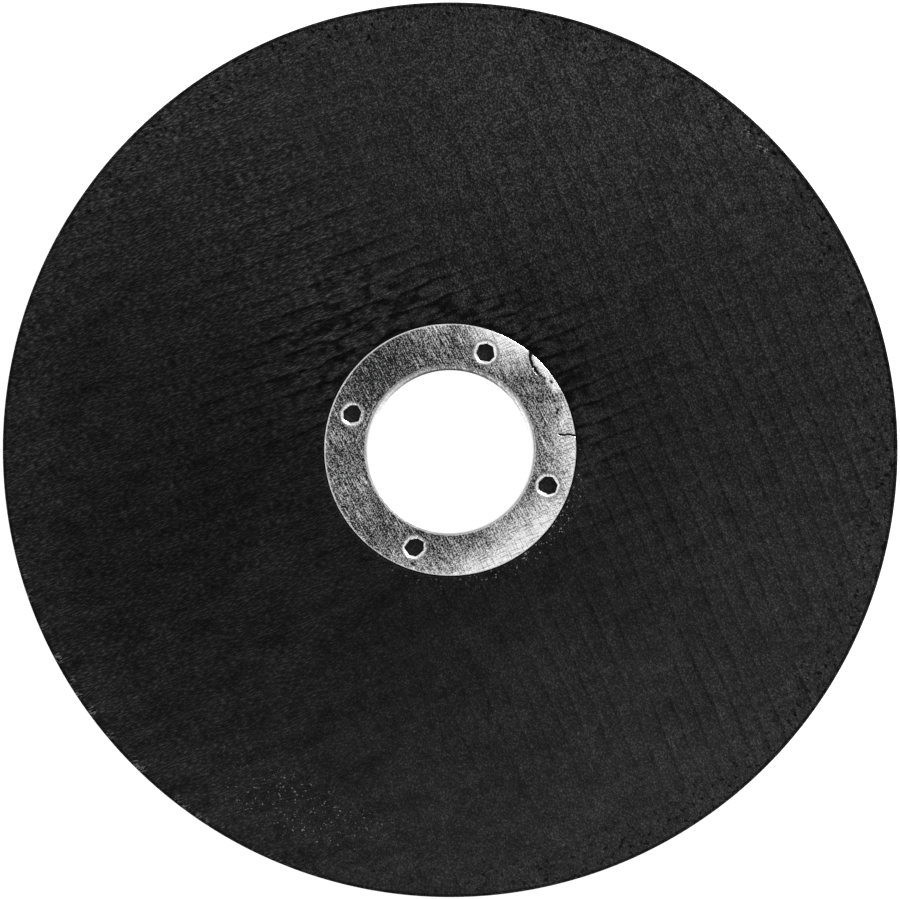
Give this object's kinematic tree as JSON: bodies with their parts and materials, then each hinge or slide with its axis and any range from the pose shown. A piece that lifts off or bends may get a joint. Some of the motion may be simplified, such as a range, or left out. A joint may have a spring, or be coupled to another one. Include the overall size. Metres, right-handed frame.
{
  "type": "cut-off wheel",
  "caption": "Thin flat black cut-off wheel for an angle grinder, with glass nets and a pressed steel ring in its bore.",
  "frame": {"origin": "on the wheel's axis, in the plane of the lower face that it lies on", "axes": "+Z along the wheel's axis, out of the face that shows the ring's flange; +X to the picture's right and +Y to its top"},
  "size_m": [0.125, 0.125, 0.0016],
  "materials": {
    "abrasive": "rough black grain in resin",
    "net": "glass net soaked in black resin, matte with a faint sheen",
    "steel": "pressed, mottled and scratched"
  },
  "bodies": {
    "root": {"abrasive_disc": "abrasive", "upper_glass_net": "net", "lower_glass_net": "net", "bore_ring": "steel"}
  },
  "joints": []
}
